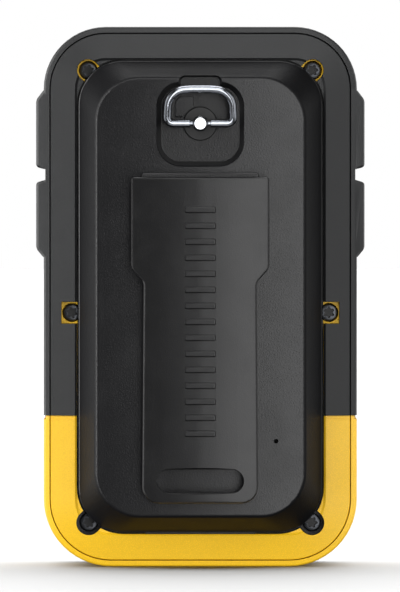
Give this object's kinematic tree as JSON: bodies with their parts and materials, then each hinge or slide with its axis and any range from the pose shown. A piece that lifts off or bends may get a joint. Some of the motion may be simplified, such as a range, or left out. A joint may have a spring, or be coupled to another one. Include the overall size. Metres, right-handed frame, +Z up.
{
  "type": "handheld gps unit",
  "caption": "Rugged handheld GPS receiver with side keys, a battery cover locked by a folding ring latch, and a sprung belt clip on its back.",
  "frame": {"origin": "centre of the bottom edge, on the surface the unit stands on", "axes": "+Z up along the unit's length, +Y out of its back, -Y out of its display"},
  "size_m": [0.0622, 0.033, 0.102],
  "materials": {
    "grey_plastic": "fine leathery grain",
    "dark_plastic": "satin",
    "yellow_plastic": "satin",
    "black_rubber": "matt",
    "bright_steel": "bright",
    "dark_steel": "blackened",
    "chrome": "polished",
    "lens_glass": "gloss",
    "display_glass": "gloss",
    "board_laminate": "satin",
    "antenna_ceramic": "matt",
    "ribbon_film": "satin",
    "cell_jacket": "satin",
    "vent_film": "matt"
  },
  "bodies": {
    "case": {"front_housing": "dark_plastic", "display_lens": "lens_glass", "lens_gasket": "black_rubber", "display_module": "display_glass", "display_frame": "dark_steel", "display_ribbon": "ribbon_film", "main_board": "board_laminate", "shield_can": "bright_steel", "patch_antenna": "antenna_ceramic", "buzzer": "dark_plastic", "usb_socket": "bright_steel", "rear_housing": "yellow_plastic", "rear_overlay": "grey_plastic", "side_band": "grey_plastic", "lower_band": "yellow_plastic", "housing_seal": "black_rubber", "cover_gasket": "black_rubber", "cell_left": "cell_jacket", "cell_right": "cell_jacket", "contact_bridge": "bright_steel", "contact_positive": "bright_steel", "contact_negative": "bright_steel", "spring_lower": "bright_steel", "spring_upper": "bright_steel", "switch_upper_left": "dark_steel", "switch_upper_right": "dark_steel", "switch_lower_left": "dark_steel", "switch_lower_right": "dark_steel", "screw_top_left": "dark_steel", "screw_top_right": "dark_steel", "screw_middle_left": "dark_steel", "screw_middle_right": "dark_steel", "screw_bottom_left": "dark_steel", "screw_bottom_right": "dark_steel"},
    "cover": {"battery_cover": "grey_plastic", "vent_membrane": "vent_film", "clip_mount": "grey_plastic", "latch_o_ring": "black_rubber"},
    "latch": {"latch_spindle": "dark_steel", "latch_cross_bar": "dark_steel", "latch_retainer": "bright_steel"},
    "ring": {"latch_ring": "chrome"},
    "clip": {"belt_clip": "grey_plastic"},
    "key_upper_left": {"key_upper_left": "dark_plastic"},
    "key_upper_right": {"key_upper_right": "dark_plastic"},
    "key_lower_left": {"key_lower_left": "dark_plastic"},
    "key_lower_right": {"key_lower_right": "dark_plastic"}
  },
  "joints": [
    {"name": "cover_open", "type": "hinge", "parent": "case", "child": "cover", "pos_m": [0, 0.0054, 0.0062], "axis": [-1, 0, 0], "range_deg": [0, 60]},
    {"name": "latch_turn", "type": "hinge", "parent": "cover", "child": "latch", "pos_m": [0, 0.0072, 0.0837], "axis": [0, 1, 0], "range_deg": [0, 90]},
    {"name": "ring_fold", "type": "hinge", "parent": "latch", "child": "ring", "pos_m": [0, 0.01115, 0.0837], "axis": [-1, 0, 0], "range_deg": [0, 155]},
    {"name": "clip_flex", "type": "hinge", "parent": "cover", "child": "clip", "pos_m": [0, 0.0142, 0.073], "axis": [1, 0, 0], "range_deg": [0, 12], "stiffness_Nm_per_rad": 1.2, "springref_deg": -3.44},
    {"name": "press_upper_left", "type": "slide", "parent": "case", "child": "key_upper_left", "axis": [1, 0, 0], "range_m": [0, 0.0005], "stiffness_N_per_m": 900, "springref_m": -0.0012},
    {"name": "press_upper_right", "type": "slide", "parent": "case", "child": "key_upper_right", "axis": [-1, 0, 0], "range_m": [0, 0.0005], "stiffness_N_per_m": 900, "springref_m": -0.0012},
    {"name": "press_lower_left", "type": "slide", "parent": "case", "child": "key_lower_left", "axis": [1, 0, 0], "range_m": [0, 0.0005], "stiffness_N_per_m": 900, "springref_m": -0.0012},
    {"name": "press_lower_right", "type": "slide", "parent": "case", "child": "key_lower_right", "axis": [-1, 0, 0], "range_m": [0, 0.0005], "stiffness_N_per_m": 900, "springref_m": -0.0012}
  ]
}
